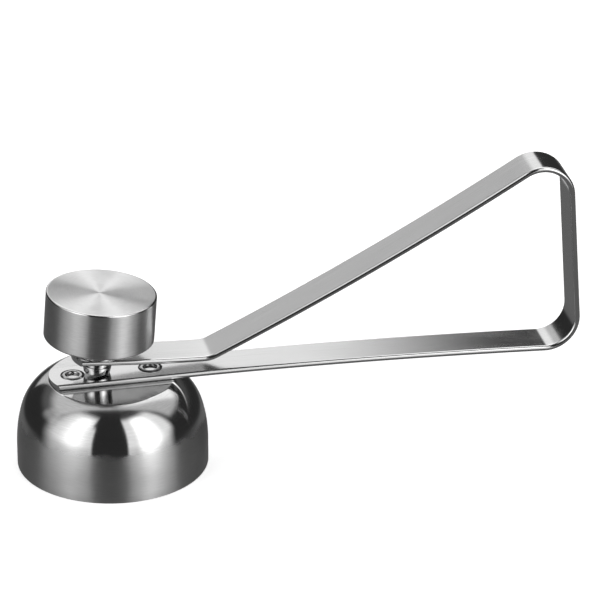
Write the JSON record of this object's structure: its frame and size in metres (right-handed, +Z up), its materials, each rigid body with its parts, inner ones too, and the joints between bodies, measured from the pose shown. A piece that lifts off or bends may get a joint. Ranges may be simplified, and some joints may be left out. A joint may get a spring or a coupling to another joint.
{
  "type": "egg topper",
  "caption": "Bell-shaped steel cup on a bent spring-strip handle whose solid knob snaps down to crack a ring round an eggshell.",
  "frame": {"origin": "on the axis of the cup, in the plane of its rim, which it rests on", "axes": "+Z up along the cup's axis, +X from the cup along the handle, Y across the strip's width"},
  "size_m": [0.1197, 0.04, 0.0598],
  "materials": {
    "polished_steel": "mirror-polished stainless steel",
    "brushed_strip": "fine lengthwise-brushed stainless spring steel with polished edges",
    "turned_steel": "turned stainless steel with fine concentric tool marks",
    "rivet_steel": "plain satin stainless steel"
  },
  "bodies": {
    "cup_and_lower_arm": {"cup": "polished_steel", "front_rivet": "rivet_steel", "rear_rivet": "rivet_steel", "handle_lower_arm": "brushed_strip"},
    "bow": {"handle_bow": "brushed_strip"},
    "hammer": {"handle_upper_arm": "brushed_strip", "knob_collar": "polished_steel", "knob": "turned_steel", "knob_stud": "rivet_steel", "striker": "polished_steel"}
  },
  "joints": [
    {"name": "lower_flex", "type": "hinge", "parent": "cup_and_lower_arm", "child": "bow", "pos_m": [0.06999, 0, 0.01879], "axis": [0, 1, 0], "range_deg": [0, 6], "stiffness_Nm_per_rad": 1, "springref_deg": -1.72},
    {"name": "upper_flex", "type": "hinge", "parent": "bow", "child": "hammer", "pos_m": [0.06394, 0, 0.04498], "axis": [0, 1, 0], "range_deg": [0, 6], "stiffness_Nm_per_rad": 1, "springref_deg": -1.72}
  ],
  "couplings": [
    {"joint": "upper_flex", "follows": "lower_flex", "ratio": 1}
  ]
}
